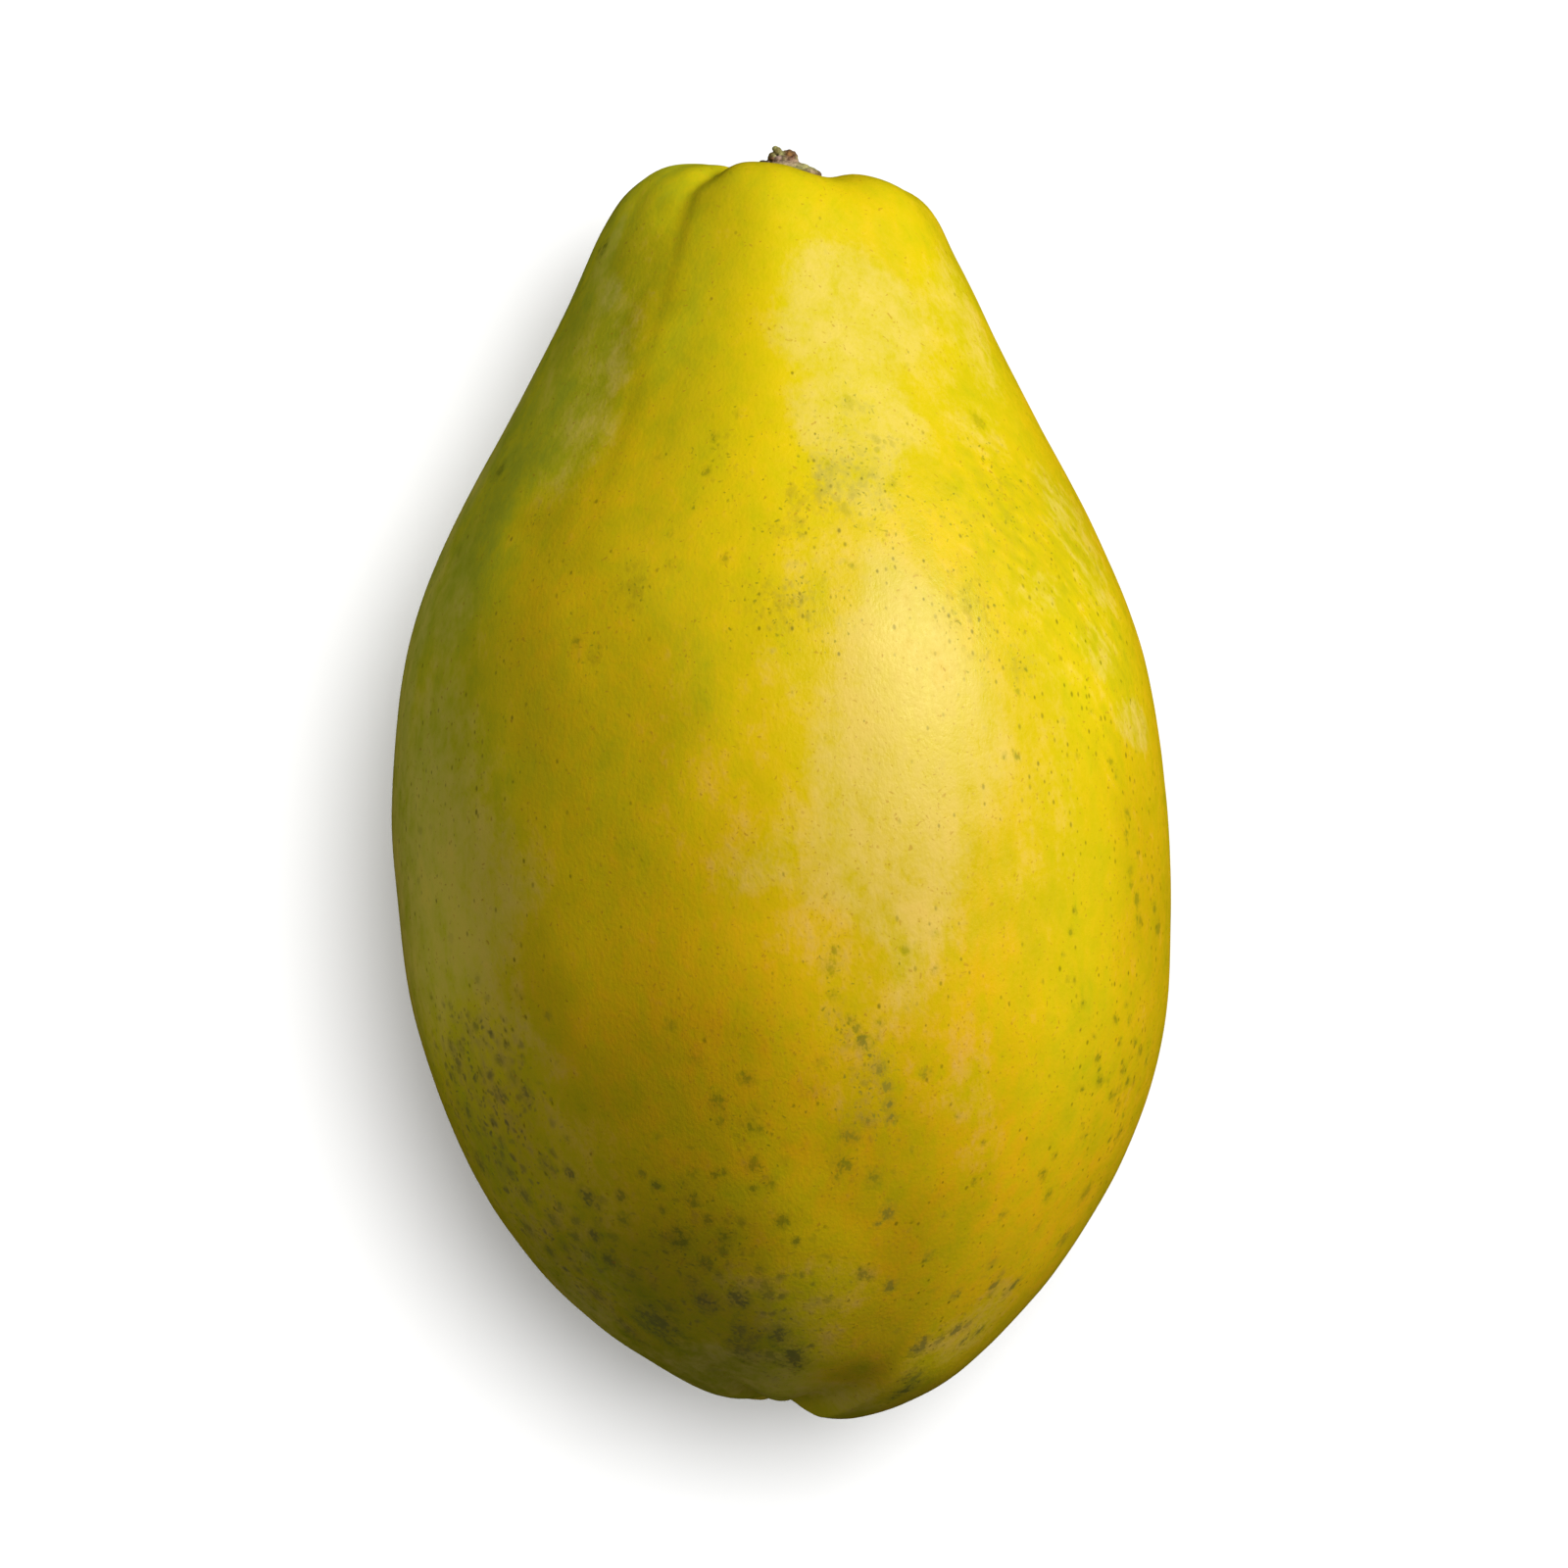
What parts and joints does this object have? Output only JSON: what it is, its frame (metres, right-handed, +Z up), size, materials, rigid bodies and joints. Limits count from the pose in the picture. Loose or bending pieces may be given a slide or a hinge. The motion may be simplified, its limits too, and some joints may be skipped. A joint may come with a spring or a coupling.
{
  "type": "papaya",
  "caption": "Whole ripe pear-shaped papaya lying on its side, five-lobed at the stem end, with the short stub of its stem.",
  "frame": {"origin": "on the surface that the fruit lies on, below the middle of the whole object's box", "axes": "+Y along the fruit towards the stem end, +X to the right of it seen from above, +Z up"},
  "size_m": [0.0926, 0.1516, 0.0885],
  "materials": {
    "peel": "waxy satin peel, golden yellow with a greener side and green-brown freckles",
    "stem": "dry corky stub, matte"
  },
  "bodies": {
    "root": {"fruit": "peel", "stem_stub": "stem"}
  },
  "joints": []
}
